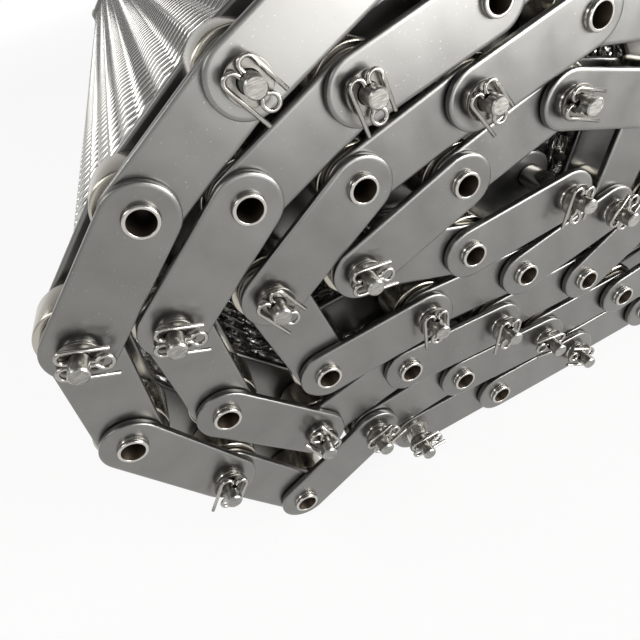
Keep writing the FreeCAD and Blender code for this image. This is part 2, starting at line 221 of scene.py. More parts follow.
class BeltSizes(bpy.types.PropertyGroup):
    """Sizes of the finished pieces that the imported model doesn't fix."""
    plate_edge: length("Plate edge", "Width of the soft rim of a chain plate", 1.5)
    plate_drop: length("Plate drop", "How far the soft rim of a chain plate falls off", 0.6)
    plate_lip: length("Plate lip", "Break on the edge of a plate's hole", 0.2)
    roller_edge: length("Roller edge", "Radius on the rims of a roller", 0.9)
    roller_crown: length("Roller crown", "How much a roller is fuller at its middle than at its rims", 0.05)
    pin_edge: length("Pin rim", "Radius on the open end of a hollow pin", 0.55)
    pin_groove: length("Pin groove", "Depth of the groove below the rim of a hollow pin", 0.35)
    washer_edge: length("Washer edge", "Radius on the rims of a washer", 0.22)
    split_wire: length("Split pin wire", "Thickness of a split pin's wire", 1.5)
    split_gap: length("Split pin gap", "Gap between the two legs inside the rod", 0.1)
    split_eye: length("Split pin eye", "Radius of the eye at the middle of its wire", 2.5)
    split_flare: length("Split pin flare", "Radius where the legs part towards the eye", 2.0)
    split_shank: length("Split pin shank", "How far a leg runs straight past the rod", 0.6)
    split_clear: length("Split pin clearance", "Gap between a bent leg and the rod", 1.3)
    split_leg: length("Split pin leg", "Length of the shorter bent leg", 13.0)
    split_extra: length("Split pin extra", "How much longer the other leg is", 3.0)
    wire_width: length("Spiral wire width", "Width of the flattened spiral wire", 3.4)
    wire_thick: length("Spiral wire thickness", "Thickness of the spiral wire", 2.2)
    wire_pitch: length("Spiral spacing", "Distance between two turns of one spiral", 9.0)
    wire_play: length("Spiral play", "Gap between the spiral wire and the rod inside it", 0.15)
    wire_bow: length("Spiral bow", "Radius of the bowed flat sides of a spiral", 22.0)
    mesh_rod: length("Mesh rod", "Diameter of the thin rods that join the spirals", 4.0)
    spirals: IntProperty(name="Spirals", description="Spirals in each link", default=4, min=1)


class BeltColours(bpy.types.PropertyGroup):
    """Colours of the finishes."""
    plate: colour("Plate", "Satin chain plates", "#82817e")
    nick: colour("Nick", "Small bright marks on the plates", "#e6e4df")
    roller: colour("Roller", "Turned rollers", "#b5b0a5")
    pin: colour("Pin", "Hollow pins", "#bfbcb6")
    # painted shade: the Bore colour is the dark, warm shade inside the hollow pins, painted onto the bore
    bore: colour("Bore", "Bores of the hollow pins", "#4a4138")
    rod: colour("Rod", "Cross rods and mesh rods", "#a9a8a4")
    sawn: colour("Sawn end", "Sawn ends of the cross rods", "#93918c")
    washer: colour("Washer", "Pressed washers", "#7d7a75")
    fastener: colour("Fastener", "Split pins", "#a8a59f")
    wire: colour("Wire", "Spiral wire", "#d2d0cb")
    floor: colour("Floor", "Studio floor", "#f4f4f2")


class BeltStage(bpy.types.PropertyGroup):
    """Camera and light."""
    lens: FloatProperty(name="Lens", description="Focal length in millimetres", default=26.93, min=1)
    camera_heading: angle("Heading", "Camera heading, to the right of +Y", 11.77)
    camera_tilt: angle("Tilt", "How far the camera looks down", 34.87)
    camera_roll: angle("Roll", "How far the camera leans clockwise", 17.91)
    camera_back: length("Back", "How far the camera is left of the free end's first joint", 46.2)
    camera_front: length("Front", "How far the camera is in front of the rod ends", 123.6)
    camera_height: length("Height", "Height of the camera above the floor", 252.9)
    camera_drop: FloatProperty(name="Drop", description="Vertical shift of the picture", default=-0.125)


# Meshes: a form is its points in metres and a list of face arrays

def weld(form):
    points, faces = form
    points, index = np.unique(points.round(8), axis=0, return_inverse=True)
    return points, [index.ravel()[rows] for rows in faces]


def face_normals(points, rows):
    """Normals of faces with the same number of corners, as long as twice their area."""
    corners = points[rows]
    return np.cross(corners[:, 1:-1] - corners[:, :1], corners[:, 2:] - corners[:, :1]).sum(axis=1)


def outward(form):
    """The closed form with its faces turned so that they face out."""
    points, faces = form
    volume = sum((face_normals(points, rows) * points[rows[:, 0]]).sum() for rows in faces)
    return form if volume > 0 else (points, [rows[:, ::-1] for rows in faces])


def grid_faces(rows, columns, rows_close=False, columns_close=False):
    """Quads over a grid of points, row after row, which may close on itself either way."""
    row, column = np.mgrid[:rows if rows_close else rows - 1, :columns if columns_close else columns - 1]
    row, column = row.ravel(), column.ravel()
    next_row, next_column = (row + 1) % rows, (column + 1) % columns
    corners = (row, column), (row, next_column), (next_row, next_column), (next_row, column)
    return np.stack([r * columns + c for r, c in corners], axis=-1)


def rounded(radius, y, edge, start, steps=4):
    """A quarter arc of a turned outline: centre, radius and where it starts, in quarter turns."""
    angles = (start + np.arange(steps + 1) / steps) * TAU / 4
    return [(radius + edge * math.cos(a), y + edge * math.sin(a)) for a in angles]


def turned_ring(diameter, bore, width, edge, segments, crown=0.0, groove=0.0):
    """A ring about Y with rounded rims and a bore with broken edges; it may have a groove below each rim."""
    outer, inner, half = diameter / 2 - edge, bore / 2, width / 2
    lip = min(edge / 2, (outer - inner) / 4)
    outline = [(inner, -half + lip), (inner + lip, -half)]
    outline += rounded(outer - crown, -half + edge, edge, 3)
    if crown:
        outline.append((outer + edge, 0.0))
    if groove:
        rim = outer + edge
        across = list(zip((rim, rim - groove, rim - groove, rim), GROOVE_SPOTS))
        outline += [(r, edge * spot - half) for r, spot in across]
        outline += [(r, half - edge * spot) for r, spot in reversed(across)]
    outline += rounded(outer - crown, half - edge, edge, 0)
    outline += [(inner + lip, half), (inner, half - lip)]
    radius, y = np.array(outline).T
    turn = np.arange(segments)[:, None] * TAU / segments
    points = np.stack([radius * np.cos(turn), y + 0 * turn, radius * np.sin(turn)], axis=-1)
    return outward((points.reshape(-1, 3), [grid_faces(segments, len(outline), True, True)]))


def chain_plate(bore, edge, drop, lip, half_steps=22, line_steps=6, cut_steps=6, edge_steps=4):
    """A plate with round ends, rounded rims and a hole at each joint, along +X from its first joint."""
    half, middle, hole = PLATE_THICK / 2, PITCH / 2, bore / 2
    corner = math.atan2(PLATE_HALF, middle)
    line = np.linspace(corner, TAU / 4, line_steps + 1)
    line_x = PLATE_HALF / np.tan(line)
    arc = TAU / 4 + np.arange(1, half_steps) * TAU / 2 / half_steps
    turns = np.concatenate([line, arc, TAU - line[::-1]])

    def rim(inset, y):
        """Along the plate's outline, from the middle of its top round the first joint to its bottom."""
        radius = PLATE_HALF - inset
        places = [line_x + 1j * radius, radius * np.exp(1j * arc), line_x[::-1] - 1j * radius]
        return raised(np.concatenate(places), y)

    def raised(places, y):
        return np.stack([places.real, np.full(len(places), y), places.imag], axis=-1)

    bevel = [(edge * (1 - math.sin(a)), drop * (1 - math.cos(a)))
             for a in np.linspace(0, TAU / 4, edge_steps + 1)]
    top = [rim(inset, half - fall) for inset, fall in bevel]
    bottom = [rim(inset, fall - half) for inset, fall in reversed(bevel)]
    bore_rows = ((hole + lip, -half), (hole, lip - half), (hole, half - lip), (hole + lip, half))
    ring = [raised(radius * np.exp(1j * turns), y) for radius, y in bore_rows]
    outline = np.array(ring + top + bottom)
    cut_turns = np.linspace(-corner, corner, cut_steps + 1)
    cut_places = middle + 1j * (PLATE_HALF - edge) * np.tan(cut_turns) / math.tan(corner)
    cut = [raised(cut_places, -half)]
    cut += [raised(radius * np.exp(1j * cut_turns), y) for radius, y in bore_rows]
    cut = np.array(cut + [raised(cut_places, half)])
    outline_faces = grid_faces(*outline.shape[:2], rows_close=True)
    cut_faces = grid_faces(*cut.shape[:2]) + outline[..., 0].size
    points = np.concatenate([outline.reshape(-1, 3), cut.reshape(-1, 3)])
    faces = np.concatenate([outline_faces, cut_faces])
    other = points * (-1, 1, 1) + (PITCH, 0, 0)
    both = np.concatenate([points, other])
    return outward(weld((both, [np.concatenate([faces, faces[:, ::-1] + len(points)])])))


def round_bar(diameter, width, edge, segments=12):
    """A straight bar about Y with broken ends."""
    radius, half = diameter / 2, width / 2
    outline = [(radius - edge, -half), (radius, edge - half), (radius, half - edge), (radius - edge, half)]
    turn = np.arange(segments) * TAU / segments
    rows = [np.stack([r * np.cos(turn), np.full(segments, y), r * np.sin(turn)], axis=-1) for r, y in outline]
    first = np.arange(segments)[None, ::-1]
    ends = np.concatenate([first, np.arange(3 * segments, 4 * segments)[None]])
    return outward((np.concatenate(rows), [grid_faces(4, segments, columns_close=True), ends]))


def arc(centre, radius, start, sweep, steps):
    """Places along an arc and the way it heads at each, as complex numbers."""
    turns = np.exp(1j * (start + sweep * np.arange(steps + 1) / steps))
    return centre + radius * turns, 1j * math.copysign(1, sweep) * turns


def wire(places, headings, y, width, thick, sides, cut=None):
    """A wire along places in the plane of the plates and y across it; cut ends have broken edges."""
    path = np.stack([places.real, y, places.imag], axis=-1)
    side = 1j * headings
    lift = np.stack([side.real, np.zeros(len(side)), side.imag], axis=-1)
    girth = np.ones(len(path))
    if cut:
        first = path[0] + (path[1] - path[0]) / np.linalg.norm(path[1] - path[0]) * cut
        last = path[-1] + (path[-2] - path[-1]) / np.linalg.norm(path[-2] - path[-1]) * cut
        path = np.concatenate([path[:1], [first], path[1:-1], [last], path[-1:]])
        lift = np.concatenate([lift[:1], lift[:1], lift[1:-1], lift[-1:], lift[-1:]])
        girth = np.ones(len(path))
        girth[[0, -1]] = 1 - 2 * cut / thick
    turn = np.arange(sides) * TAU / sides
    ring = np.cos(turn)[:, None] * ACROSS * width / 2 + np.sin(turn)[:, None] * lift[:, None] * thick / 2
    points = (path[:, None] + ring * girth[:, None, None]).reshape(-1, 3)
    first = np.arange(sides)[None, ::-1]
    ends = np.concatenate([first, np.arange(len(points) - sides, len(points))[None]])
    return outward((points, [grid_faces(len(path), sides, columns_close=True), ends]))


def split_pin(sizes):
    """A split pin through a rod, its eye towards +X and its legs bent back beside the rod."""
    inner = (sizes.split_wire + sizes.split_gap) / 2
    outer = ROD_DIA / 2 + sizes.split_wire / 2 + sizes.split_clear
    bend = (outer - inner) / 2
    near = ROD_DIA / 2 + sizes.split_shank
    rise = inner + sizes.split_flare
    eye = near + math.sqrt((sizes.split_flare + sizes.split_eye) ** 2 - rise ** 2)
    lean = math.atan2(-rise, eye - near)
    tip = sizes.split_leg - near
    upper = [
        (np.array([tip + 1j * outer]), np.array([-1 + 0j])),
        arc(-near + 1j * (inner + bend), bend, TAU / 4, TAU / 2, 10),
        arc(near + 1j * rise, sizes.split_flare, -TAU / 4, lean + TAU / 4, 5),
    ]
    places, headings = (np.concatenate(part) for part in zip(*upper))
    lower = np.conj(places[::-1])
    lower[-1] += sizes.split_extra
    half_eye = lean + TAU / 2
    eye_places, eye_headings = arc(eye + 0j, sizes.split_eye, half_eye, -2 * half_eye, 16)
    places = np.concatenate([places, eye_places[1:-1], lower])
    headings = np.concatenate([headings, eye_headings[1:-1], -np.conj(headings[::-1])])
    sides, blunt = 12, 0.15 * MM
    return wire(places, headings, np.zeros(len(places)), sizes.split_wire, sizes.split_wire, sides, blunt)


def spiral(sizes, number, rods, end_steps, flight_steps, sides):
    """One flattened wire spiral round two rods of a link, alternately right and left hand."""
    spacing = PITCH / sizes.spirals
    start = number * spacing + 0j
    left, right = (rod / 2 + sizes.wire_play + sizes.wire_thick / 2 for rod in rods[number:number + 2])
    bow = sizes.wire_bow if left == right else 2 * sizes.wire_bow
    ahead = (spacing ** 2 - (bow - right) ** 2 + (bow - left) ** 2) / (2 * spacing)
    sunk = math.sqrt((bow - left) ** 2 - ahead ** 2)
    turn_left, turn_right = math.atan2(sunk, -ahead), math.atan2(sunk, spacing - ahead)
    parts = [
        arc(start + ahead - 1j * sunk, bow, turn_left, turn_right - turn_left, flight_steps),
        arc(start + spacing, right, turn_right, -2 * turn_right, end_steps),
        arc(start + ahead + 1j * sunk, bow, -turn_right, turn_right - turn_left, flight_steps),
        arc(start, left, -turn_left, 2 * turn_left - TAU, end_steps),
    ]
    places, headings = (np.concatenate([one[:-1] for one in part]) for part in zip(*parts))
    run = np.abs(np.diff(places, append=places[:1]))
    share = (np.cumsum(run) - run) / run.sum()
    middle = np.interp(flight_steps + end_steps / 2, np.arange(len(share)), share)
    turns = int(MESH_WIDTH / sizes.wire_pitch) - 1
    count = np.arange(turns)[:, None]
    hand = 1 if number % 2 == 0 else -1
    y = hand * (count + 0.5 + share - middle - turns / 2).ravel() * sizes.wire_pitch
    places, headings = np.tile(places, turns), np.tile(headings, turns)
    return wire(places, headings, y, sizes.wire_width, sizes.wire_thick, sides)


def copies(form, spots):
    """One form at many spots: place in the plane of the plates, y and turn. Also each copy's own points."""
    points, faces = form
    place, y, turn = (np.array(part)[:, None] for part in zip(*spots))
    turned = place + (points[:, 0] + 1j * points[:, 2]) * np.exp(1j * turn)
    moved = np.stack([turned.real, points[:, 1] + y, turned.imag], axis=-1)
    shift = np.arange(len(spots))[:, None, None] * len(points)
    faces = [(rows + shift).reshape(-1, rows.shape[1]) for rows in faces]
    return (moved.reshape(-1, 3), faces), np.tile(points, (len(spots), 1))


def make_mesh(name, form):
    """A mesh with flat shading on flat ends and faces and smooth shading elsewhere."""
    points, faces = form
    mesh = bpy.data.meshes.new(name)
    sizes = np.concatenate([np.full(len(rows), rows.shape[1]) for rows in faces])
    normals = np.concatenate([face_normals(points, rows) for rows in faces])
    lengths = np.maximum(np.linalg.norm(normals, axis=1), 1e-18)
    smooth = (np.abs(normals[:, 1]) < 0.9999 * lengths) & (sizes <= 4)
    mesh.vertices.add(len(points))
    mesh.vertices.foreach_set("co", points.astype(np.float32).ravel())
    mesh.loops.add(int(sizes.sum()))
    mesh.loops.foreach_set("vertex_index", np.concatenate([rows.ravel() for rows in faces]).astype(np.int32))
    mesh.polygons.add(len(sizes))
    mesh.polygons.foreach_set("loop_start", (np.cumsum(sizes) - sizes).astype(np.int32))
    mesh.polygons.foreach_set("use_smooth", smooth)
    mesh.update(calc_edges=True)
    if mesh.validate():
        raise RuntimeError(f"{name} has bad faces")
    return mesh


def show(name, mesh, material, body, replaced=()):
    """Puts a finished mesh on its body in place of the CAD nodes that it stands for."""
    piece = bpy.data.objects.new(name, mesh)
    bpy.context.scene.collection.objects.link(piece)
    mesh.materials.append(material)
    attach(piece, body)
    if replaced:
        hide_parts(*replaced)
    return piece


def show_copies(name, form, spots, material, body, replaced):
    """A group of like pieces on one body, each with its own tone and pattern place."""
    whole, own = copies(form, spots)
    mesh = make_mesh(name, whole)
    own_place = mesh.attributes.new("own_place", "FLOAT_VECTOR", "POINT")
    own_place.data.foreach_set("vector", (own / MM).astype(np.float32).ravel())
    tone = np.random.default_rng(len(spots)).uniform(0, 1, len(spots))
    own_tone = mesh.attributes.new("own_tone", "FLOAT", "POINT")
    own_tone.data.foreach_set("value", np.repeat(tone, len(form[0])).astype(np.float32))
    return show(name, mesh, material, body, replaced)


# Bodies and spots along the belt

def body_of(link):
    """The body that a link belongs to: the free end, a link that hinges by itself, or the roll."""
    if f"link_{link}" in frame["bodies"]:
        return f"link_{link}"
    return "free_end_run" if link < 3 else "wound_roll"


def pin_link(number):
    """The outer link that holds a joint's pins and rod."""
    return max(number if number % 2 else number - 1, 0)


def heading(link):
    return cmath.phase(JOINTS[link + 1] - JOINTS[link])


def by_body(spots):
    """Groups pairs of body and spot by body."""
    groups = {}
    for body, spot in spots:
        groups.setdefault(body, []).append(spot)
    return groups


def dress(kind, form, spots, material):
    """Shows one kind of piece on every body that has it."""
    for body, places in by_body(spots).items():
        node = f"{body}_{kind}"
        show_copies(f"{node}_finished", form, places, material, body, [node])


# Finishes

def add_node(tree, kind, inputs=None, **settings):
    """Adds a node, sets it up and fills its inputs with values or with other nodes' outputs."""
    made = tree.nodes.new(kind)
    for name, value in settings.items():
        setattr(made, name, value)
    for name, value in (inputs or {}).items():
        if isinstance(value, bpy.types.NodeSocket):
            tree.links.new(value, made.inputs[name])
        else:
            made.inputs[name].default_value = value
    return made


def steel(name, tint, roughness):
    """A plain stainless steel to build a finish on: its material, node tree and shader."""
    material = bpy.data.materials.new(name)
    material.use_nodes = True
    tree = material.node_tree
    shader = tree.nodes["Principled BSDF"]
    shader.inputs["Base Color"].default_value = (*tint, 1)
    shader.inputs["Metallic"].default_value = 1
    shader.inputs["Roughness"].default_value = roughness
    return material, tree, shader


def radius_of(tree, place):
    """How far a place on a turned piece is from its axis."""
    flat = add_node(tree, "ShaderNodeVectorMath", {0: place, 1: (1, 0, 1)},
                    operation="MULTIPLY").outputs["Vector"]
    return add_node(tree, "ShaderNodeVectorMath", {0: flat}, operation="LENGTH").outputs["Value"]


def tumbled_stainless_plate(colours):
    """Blanked and tumbled stainless plate: an even satin with soft clouds and a few short bright nicks."""
    material, tree, shader = steel("tumbled_stainless_plate", colours.plate, 0.3)
    place = add_node(tree, "ShaderNodeAttribute", attribute_name="own_place").outputs["Vector"]
    tone = add_node(tree, "ShaderNodeAttribute", attribute_name="own_tone").outputs["Fac"]
    cloud_mm, grain_mm, nick_mm = 14.0, 0.5, 0.8
    cloud = add_node(tree, "ShaderNodeTexNoise", {"Vector": place, "W": tone, "Scale": 1 / cloud_mm,
                                                  "Detail": 3.0}, noise_dimensions="4D").outputs["Fac"]
    grain = add_node(tree, "ShaderNodeTexNoise", {"Vector": place, "W": tone, "Scale": 1 / grain_mm,
                                                  "Detail": 2.0}, noise_dimensions="4D").outputs["Fac"]
    lean = add_node(tree, "ShaderNodeMapping", {"Vector": place, "Rotation": (0, math.radians(35), 0),
                                                "Scale": (0.35, 1.0, 1.6)}).outputs["Vector"]
    spots = add_node(tree, "ShaderNodeTexNoise", {"Vector": lean, "W": tone, "Scale": 2 / nick_mm,
                                                  "Detail": 0.0}, noise_dimensions="4D").outputs["Fac"]
    nicks = add_node(tree, "ShaderNodeMapRange", {"Value": spots, "From Min": 0.78, "From Max": 0.87,
                                                  "To Max": 0.55}).outputs["Result"]
    shade = add_node(tree, "ShaderNodeMapRange", {"Value": cloud, "From Min": 0.3, "From Max": 0.7,
                                                  "To Min": 0.92, "To Max": 1.06}).outputs["Result"]
    own = add_node(tree, "ShaderNodeMapRange", {"Value": tone, "To Min": 0.93,
                                                "To Max": 1.05}).outputs["Result"]
    both = add_node(tree, "ShaderNodeMath", {0: shade, 1: own}, operation="MULTIPLY").outputs[0]
    tint = add_node(tree, "ShaderNodeVectorMath", {0: colours.plate, "Scale": both},
                    operation="SCALE").outputs[0]
    base = add_node(tree, "ShaderNodeMix", {"Factor": nicks, MIX_FIRST: tint, MIX_SECOND: (*colours.nick, 1)},
                    data_type="RGBA").outputs[MIX_COLOUR]
    tree.links.new(base, shader.inputs["Base Color"])
    rough = add_node(tree, "ShaderNodeMapRange", {"Value": cloud, "From Min": 0.3, "From Max": 0.7,
                                                  "To Min": 0.28, "To Max": 0.35}).outputs["Result"]
    tree.links.new(rough, shader.inputs["Roughness"])
    bump = add_node(tree, "ShaderNodeBump", {"Height": grain, "Strength": 0.4, "Distance": 0.02 * MM})
    tree.links.new(bump.outputs["Normal"], shader.inputs["Normal"])
    return material


def turned_stainless_roller(colours):
    """Lathe-turned stainless rollers: pale and warm, with fine rings round the tread and the faces."""
    material, tree, shader = steel("turned_stainless_roller", colours.roller, 0.34)
    place = add_node(tree, "ShaderNodeAttribute", attribute_name="own_place").outputs["Vector"]
    parts = add_node(tree, "ShaderNodeSeparateXYZ", {"Vector": place})
    along = add_node(tree, "ShaderNodeMath", {0: radius_of(tree, place), 1: parts.outputs["Y"]},
                     operation="ADD").outputs[0]
    ring_mm = 0.45
    rings = add_node(tree, "ShaderNodeTexNoise", {"W": along, "Scale": 1 / ring_mm, "Detail": 2.0},
                     noise_dimensions="1D").outputs["Fac"]
    bump = add_node(tree, "ShaderNodeBump", {"Height": rings, "Strength": 0.5, "Distance": 0.03 * MM})
    tree.links.new(bump.outputs["Normal"], shader.inputs["Normal"])
    rough = add_node(tree, "ShaderNodeMapRange", {"Value": rings, "From Min": 0.3, "From Max": 0.7,
                                                  "To Min": 0.17, "To Max": 0.26}).outputs["Result"]
    tree.links.new(rough, shader.inputs["Roughness"])
    return material


def drawn_tube_with_painted_bore_shade(colours):
    """Cold-drawn stainless tube: a bright, faintly streaked rim round a dull bore, whose dark, warm colour is
    painted shade.
    """
    material, tree, shader = steel("drawn_tube_with_painted_bore_shade", colours.pin, 0.18)
    place = add_node(tree, "ShaderNodeAttribute", attribute_name="own_place").outputs["Vector"]
    radius = radius_of(tree, place)
    streak_mm, bore_mm, soft_mm = 0.6, PIN_BORE / 2 / MM, 0.12
    streaks = add_node(tree, "ShaderNodeTexNoise", {"Vector": place, "Scale": 1 / streak_mm,
                                                    "Detail": 2.0}).outputs["Fac"]
    # painted shade: from the bore's radius inwards the colour goes to the dark bore colour, which stands in
    # for the shade in the pin's hollow
    rim = add_node(tree, "ShaderNodeMapRange", {"Value": radius, "From Min": bore_mm,
                                                "From Max": bore_mm + soft_mm}).outputs["Result"]
    tint = add_node(tree, "ShaderNodeMix", {"Factor": rim, MIX_FIRST: (*colours.bore, 1),
                                            MIX_SECOND: (*colours.pin, 1)}, data_type="RGBA")
    tree.links.new(tint.outputs[MIX_COLOUR], shader.inputs["Base Color"])
    bright = add_node(tree, "ShaderNodeMapRange", {"Value": streaks, "From Min": 0.3, "From Max": 0.7,
                                                   "To Min": 0.13, "To Max": 0.24}).outputs["Result"]
    rough = add_node(tree, "ShaderNodeMix", {"Factor": rim, "A": 0.5, "B": bright}).outputs["Result"]
    tree.links.new(rough, shader.inputs["Roughness"])
    return material


def drawn_stainless_bar(colours):
    """Drawn stainless bar: straight fine draw lines on its side, matt saw marks on its ends."""
    material, tree, shader = steel("drawn_stainless_bar", colours.rod, 0.3)
    place = add_node(tree, "ShaderNodeTexCoord").outputs["Object"]
    line_mm, line_length_mm, saw_mm = 0.35, 30.0, 0.45
    fine, long = 1 / line_mm / MM, 1 / line_length_mm / MM
    lines = add_node(tree, "ShaderNodeMapping", {"Vector": place,
                                                 "Scale": (fine, long, fine)}).outputs["Vector"]
    drawn = add_node(tree, "ShaderNodeTexNoise", {"Vector": lines, "Scale": 1.0,
                                                  "Detail": 2.0}).outputs["Fac"]
    saw_scale = 0.15 / saw_mm / MM, 1 / MM, 1 / saw_mm / MM
    saw = add_node(tree, "ShaderNodeMapping", {"Vector": place, "Rotation": (0, math.radians(25), 0),
                                               "Scale": saw_scale}).outputs["Vector"]
    sawn = add_node(tree, "ShaderNodeTexNoise", {"Vector": saw, "Scale": 1.0, "Detail": 3.0}).outputs["Fac"]
    facing = add_node(tree, "ShaderNodeSeparateXYZ",
                      {"Vector": add_node(tree, "ShaderNodeNewGeometry").outputs["Normal"]}).outputs["Y"]
    end = add_node(tree, "ShaderNodeMath", {0: facing}, operation="ABSOLUTE").outputs[0]
    is_end = add_node(tree, "ShaderNodeMapRange", {"Value": end, "From Min": 0.9,
                                                   "From Max": 0.95}).outputs["Result"]
    height = add_node(tree, "ShaderNodeMix", {"Factor": is_end, "A": drawn, "B": sawn}).outputs["Result"]
    bump = add_node(tree, "ShaderNodeBump", {"Height": height, "Strength": 0.6, "Distance": 0.05 * MM})
    tree.links.new(bump.outputs["Normal"], shader.inputs["Normal"])
    shade = add_node(tree, "ShaderNodeMapRange", {"Value": sawn, "From Min": 0.35, "From Max": 0.65,
                                                  "To Min": 0.65, "To Max": 1.25}).outputs["Result"]
    marked = add_node(tree, "ShaderNodeVectorMath", {0: colours.sawn, "Scale": shade},
                      operation="SCALE").outputs[0]
    tint = add_node(tree, "ShaderNodeMix", {"Factor": is_end, MIX_FIRST: (*colours.rod, 1),
                                            MIX_SECOND: marked}, data_type="RGBA").outputs[MIX_COLOUR]
    tree.links.new(tint, shader.inputs["Base Color"])
    rough = add_node(tree, "ShaderNodeMapRange", {"Value": is_end, "To Min": 0.28,
                                                  "To Max": 0.62}).outputs["Result"]
    tree.links.new(rough, shader.inputs["Roughness"])
    return material


def pressed_stainless_washer(colours):
    """Pressed stainless washers: duller than the wire over them, with soft rub marks."""
    material, tree, shader = steel("pressed_stainless_washer", colours.washer, 0.3)
    place = add_node(tree, "ShaderNodeAttribute", attribute_name="own_place").outputs["Vector"]
    rub_mm = 3.0
    rubs = add_node(tree, "ShaderNodeTexNoise", {"Vector": place, "Scale": 1 / rub_mm,
                                                 "Detail": 2.0}).outputs["Fac"]
    rough = add_node(tree, "ShaderNodeMapRange", {"Value": rubs, "From Min": 0.3, "From Max": 0.7,
                                                  "To Min": 0.24, "To Max": 0.36}).outputs["Result"]
    tree.links.new(rough, shader.inputs["Roughness"])
    return material


def bright_stainless_fastener(colours):
    """Bright stainless split pins: smooth wire with faint handling marks."""
    material, tree, shader = steel("bright_stainless_fastener", colours.fastener, 0.2)
    place = add_node(tree, "ShaderNodeAttribute", attribute_name="own_place").outputs["Vector"]
    mark_mm = 1.2
    marks = add_node(tree, "ShaderNodeTexNoise", {"Vector": place, "Scale": 1 / mark_mm,
                                                  "Detail": 3.0}).outputs["Fac"]
    rough = add_node(tree, "ShaderNodeMapRange", {"Value": marks, "From Min": 0.3, "From Max": 0.7,
                                                  "To Min": 0.15, "To Max": 0.28}).outputs["Result"]
    tree.links.new(rough, shader.inputs["Roughness"])
    return material


def drawn_stainless_wire(colours):
    """Drawn and flattened stainless wire: bright, with fine lines along the wire."""
    material, tree, shader = steel("drawn_stainless_wire", colours.wire, 0.15)
    place = add_node(tree, "ShaderNodeTexCoord").outputs["Object"]
    line_mm, line_length_mm = 0.4, 12.0
    fine, long = 1 / line_mm / MM, 1 / line_length_mm / MM
    lines = add_node(tree, "ShaderNodeMapping", {"Vector": place,
                                                 "Scale": (long, fine, fine)}).outputs["Vector"]
    drawn = add_node(tree, "ShaderNodeTexNoise", {"Vector": lines, "Scale": 1.0,
                                                  "Detail": 2.0}).outputs["Fac"]
    bump = add_node(tree, "ShaderNodeBump", {"Height": drawn, "Strength": 0.3, "Distance": 0.03 * MM})
    tree.links.new(bump.outputs["Normal"], shader.inputs["Normal"])
    return material


def finish_of(make):
    """The finish that a function makes, made once."""
    return bpy.data.materials.get(make.__name__) or make(bpy.context.scene.belt_colours)


# One operator for each kind of piece

class BELT_OT_chain_plates(bpy.types.Operator):
    """Chain plates with rounded rims, two a side on every link"""
    bl_idname = "belt.chain_plates"
    bl_label = "Chain plates"

    def execute(self, context):
        sizes = context.scene.belt_sizes
        material = finish_of(tumbled_stainless_plate)
        kinds = (
            ("inner_plates", BUSH_DIA, INNER_PLATE_MIDS, 0),
            ("outer_plates", PIN_DIA, OUTER_PLATE_MIDS, 1),
        )
        for kind, bore, mids, odd in kinds:
            form = chain_plate(bore, sizes.plate_edge, sizes.plate_drop, sizes.plate_lip)
            spots = [(body_of(link), (JOINTS[link], y, heading(link)))
                     for link in LINKS if link % 2 == odd for y in mids]
            dress(kind, form, spots, material)
        return {"FINISHED"}


class BELT_OT_rollers(bpy.types.Operator):
    """Large turned rollers, one a side at every joint"""
    bl_idname = "belt.rollers"
    bl_label = "Rollers"

    def execute(self, context):
        sizes = context.scene.belt_sizes
        form = turned_ring(ROLLER_DIA, ROLLER_BORE, ROLLER_WIDTH, sizes.roller_edge, 64, sizes.roller_crown)
        groups = {}
        for number in LINKS:
            node = f"roller_pair_{number}"
            if node not in frame["nodes"]:
                node = "wound_roll_rollers"
            groups.setdefault(node, []).extend((JOINTS[number], y, 0.0) for y in (-CHAIN_MID, CHAIN_MID))
        for node, spots in groups.items():
            body = node if node in frame["bodies"] else "wound_roll"
            show_copies(f"{node}_finished", form, spots, finish_of(turned_stainless_roller), body,
                        [node])
        return {"FINISHED"}


class BELT_OT_hollow_pins(bpy.types.Operator):
    """Hollow pins with rolled rims, one a side at every joint"""
    bl_idname = "belt.hollow_pins"
    bl_label = "Hollow pins"

    def execute(self, context):
        sizes = context.scene.belt_sizes
        form = turned_ring(PIN_DIA, PIN_BORE, PIN_LENGTH, sizes.pin_edge, 44, groove=sizes.pin_groove)
        spots = [(body_of(pin_link(number)), (place, y, 0.0))
                 for number, place in enumerate(JOINTS) for y in (-CHAIN_MID, CHAIN_MID)]
        dress("hollow_pins", form, spots, finish_of(drawn_tube_with_painted_bore_shade))
        return {"FINISHED"}


class BELT_OT_bars(bpy.types.Operator):
    """Finish of the cross rods and bushes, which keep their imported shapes"""
    bl_idname = "belt.bars"
    bl_label = "Cross rods and bushes"

    def execute(self, context):
        kept = nodes_of("_cross_rods") + nodes_of("_cross_rod") + nodes_of("_bushes")
        for node in kept:
            mesh = frame["nodes"][node].data
            mesh.materials.clear()
            mesh.materials.append(finish_of(drawn_stainless_bar))
        return {"FINISHED"}


class BELT_OT_washers(bpy.types.Operator):
    """Washers over the pins at both ends of every cross rod"""
    bl_idname = "belt.washers"
    bl_label = "Washers"

    def execute(self, context):
        sizes = context.scene.belt_sizes
        form = turned_ring(WASHER_DIA, WASHER_BORE, WASHER_THICK, sizes.washer_edge, 48)
        spots = [(body_of(pin_link(number)), (JOINTS[number], y, turn))
                 for number, turn in sorted(SPLIT_TURNS.items()) for y in (-WASHER_MID, WASHER_MID)]
        dress("washers", form, spots, finish_of(pressed_stainless_washer))
        return {"FINISHED"}


class BELT_OT_split_pins(bpy.types.Operator):
    """Split pins through both ends of every cross rod"""
    bl_idname = "belt.split_pins"
    bl_label = "Split pins"

    def execute(self, context):
        form = split_pin(context.scene.belt_sizes)
        spots = [(body_of(pin_link(number)), (JOINTS[number], y, turn))
                 for number, turn in sorted(SPLIT_TURNS.items()) for y in (-SPLIT_MID, SPLIT_MID)]
        dress("split_pins", form, spots, finish_of(bright_stainless_fastener))
        return {"FINISHED"}


